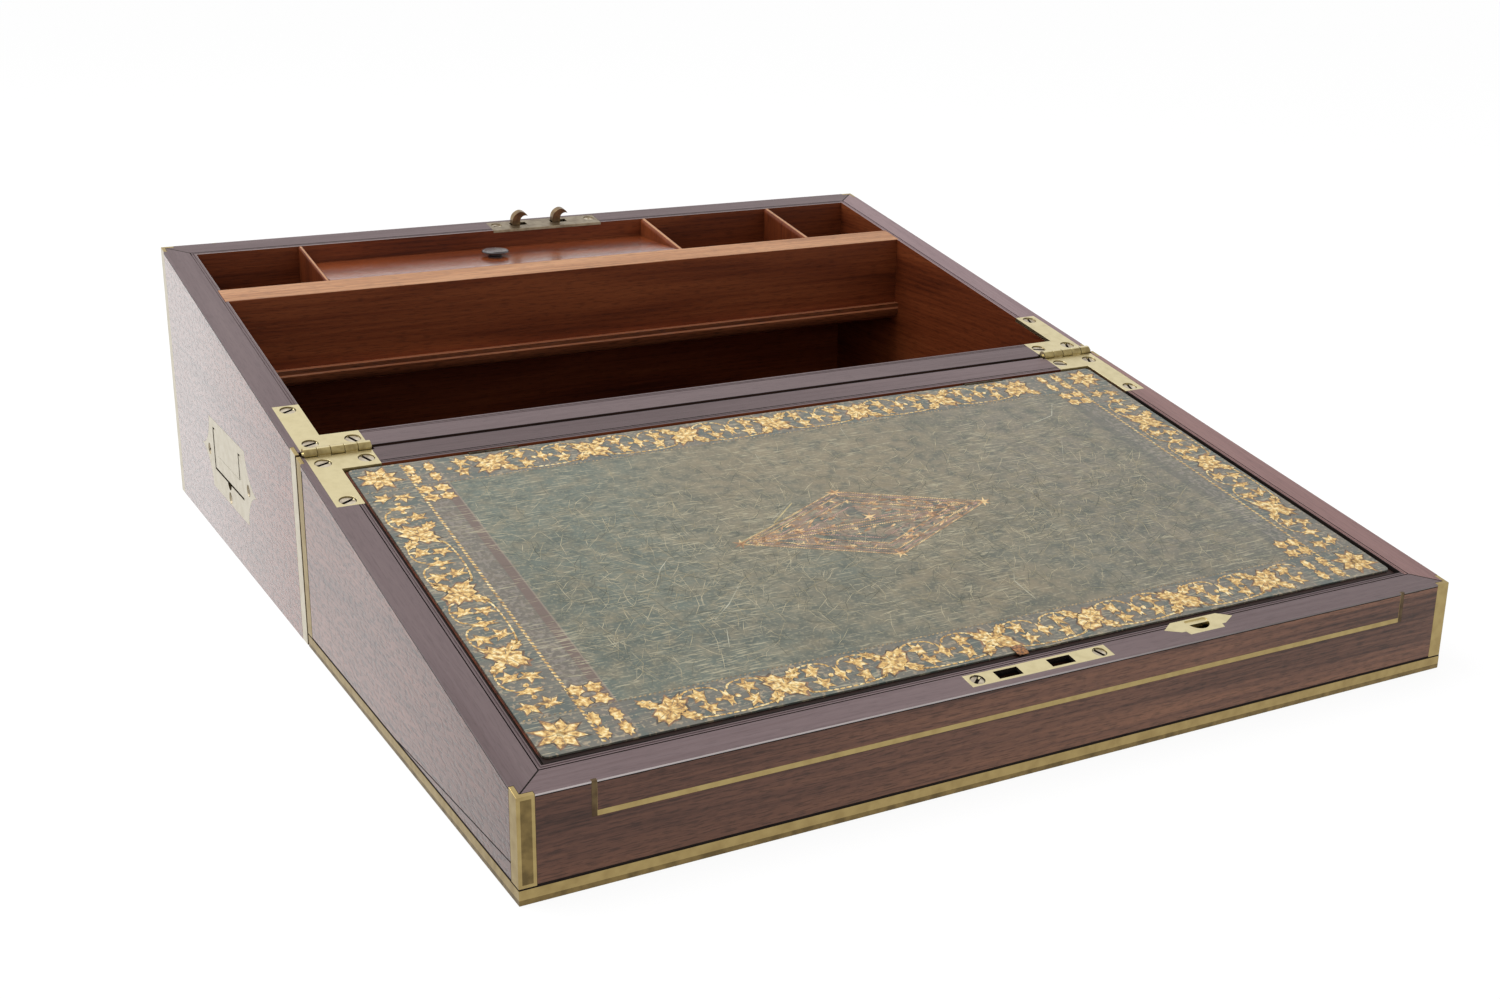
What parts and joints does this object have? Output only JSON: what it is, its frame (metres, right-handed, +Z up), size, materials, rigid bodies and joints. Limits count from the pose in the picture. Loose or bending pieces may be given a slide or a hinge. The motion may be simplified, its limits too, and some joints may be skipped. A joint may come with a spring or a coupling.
{
  "type": "campaign desk",
  "caption": "Portable brass-bound writing box that opens to a sloping leather-covered writing surface, with a pen tray, compartments, hook lock, writing flap and sunk carrying handles.",
  "frame": {"origin": "centre of the footprint of the opened box, on the table, under the hinge line", "axes": "+Y towards the base's high back, -Y towards the writer, +X to the writer's right, +Z up"},
  "size_m": [0.45, 0.52, 0.1489],
  "materials": {
    "rosewood": "french polished, worn",
    "mahogany": "satin",
    "polished_mahogany": "french polished",
    "ebonised_wood": "polished",
    "brass": "old polish, lightly tarnished",
    "lock_steel": "dull",
    "screw_steel": "worn",
    "tooled_leather": "worn, gold tooled border",
    "tab_leather": "worn"
  },
  "bodies": {
    "base": {"base_bottom_board": "mahogany", "base_left_wall": "mahogany", "base_right_wall": "mahogany", "base_back_wall": "mahogany", "base_front_wall": "mahogany", "base_side_veneers": "rosewood", "base_back_veneer": "rosewood", "base_rim": "rosewood", "base_lining": "mahogany", "base_corner_straps": "brass", "base_back_stringing": "brass", "hinge_base_leaves": "brass", "hinge_base_screws": "screw_steel", "hinge_pins": "brass", "base_lock_plate": "brass", "base_lock_case": "lock_steel", "base_small_screws": "screw_steel", "back_escutcheon": "brass", "left_handle_plate": "brass", "right_handle_plate": "brass", "handle_pins": "brass", "cross_wall": "mahogany", "cross_wall_moulding": "mahogany", "tray_floor": "mahogany", "left_divider": "mahogany", "middle_divider": "mahogany", "right_divider": "mahogany", "tray_lid_ledges": "mahogany"},
    "lid": {"lid_panel": "mahogany", "lid_top_veneer": "rosewood", "lid_left_wall": "mahogany", "lid_right_wall": "mahogany", "lid_front_wall": "mahogany", "lid_back_wall": "mahogany", "lid_side_veneers": "rosewood", "lid_front_veneer": "rosewood", "lid_rim": "rosewood", "lid_lining": "mahogany", "lid_edge_binding": "brass", "lid_corner_straps": "brass", "lid_front_stringing": "brass", "hinge_lid_leaves": "brass", "hinge_lid_screws": "screw_steel", "striker_plate": "brass", "striker_screws": "screw_steel", "flap_ledges": "mahogany", "flap_hinge_lid_leaves": "brass", "flap_hinge_pins": "brass", "flap_lock_plate": "brass", "flap_lock_case": "lock_steel"},
    "flap": {"flap_board": "mahogany", "writing_leather": "tooled_leather", "pull_tab": "tab_leather", "flap_hinge_leaves": "brass"},
    "hooks": {"hook_bolt": "brass"},
    "flap_lock_bolt": {"flap_bolt": "brass"},
    "tray_lid": {"pen_tray_lid": "polished_mahogany", "tray_lid_knob": "ebonised_wood"},
    "left_bail": {"left_handle_bail": "brass"},
    "right_bail": {"right_handle_bail": "brass"}
  },
  "joints": [
    {"name": "lid_hinge", "type": "hinge", "parent": "base", "child": "lid", "pos_m": [0, 0, 0.092], "axis": [1, 0, 0], "range_deg": [-180, 0]},
    {"name": "flap_lift", "type": "hinge", "parent": "lid", "child": "flap", "pos_m": [0, -0.0181, 0.0873], "axis": [-1, 0, 0], "range_deg": [0, 100]},
    {"name": "hook_throw", "type": "slide", "parent": "base", "child": "hooks", "axis": [1, 0, 0], "range_m": [0, 0.004]},
    {"name": "flap_bolt_throw", "type": "slide", "parent": "lid", "child": "flap_lock_bolt", "axis": [0, 0.982, 0.1888], "range_m": [0, 0.003]},
    {"name": "tray_lid_lift", "type": "slide", "parent": "base", "child": "tray_lid", "axis": [0, 0, 1], "range_m": [0, 0.04]},
    {"name": "left_handle_swing", "type": "hinge", "parent": "base", "child": "left_bail", "pos_m": [-0.2232, 0.136, 0.0605], "axis": [0, 1, 0], "range_deg": [0, 90]},
    {"name": "right_handle_swing", "type": "hinge", "parent": "base", "child": "right_bail", "pos_m": [0.2232, 0.136, 0.0605], "axis": [0, -1, 0], "range_deg": [0, 90]}
  ]
}
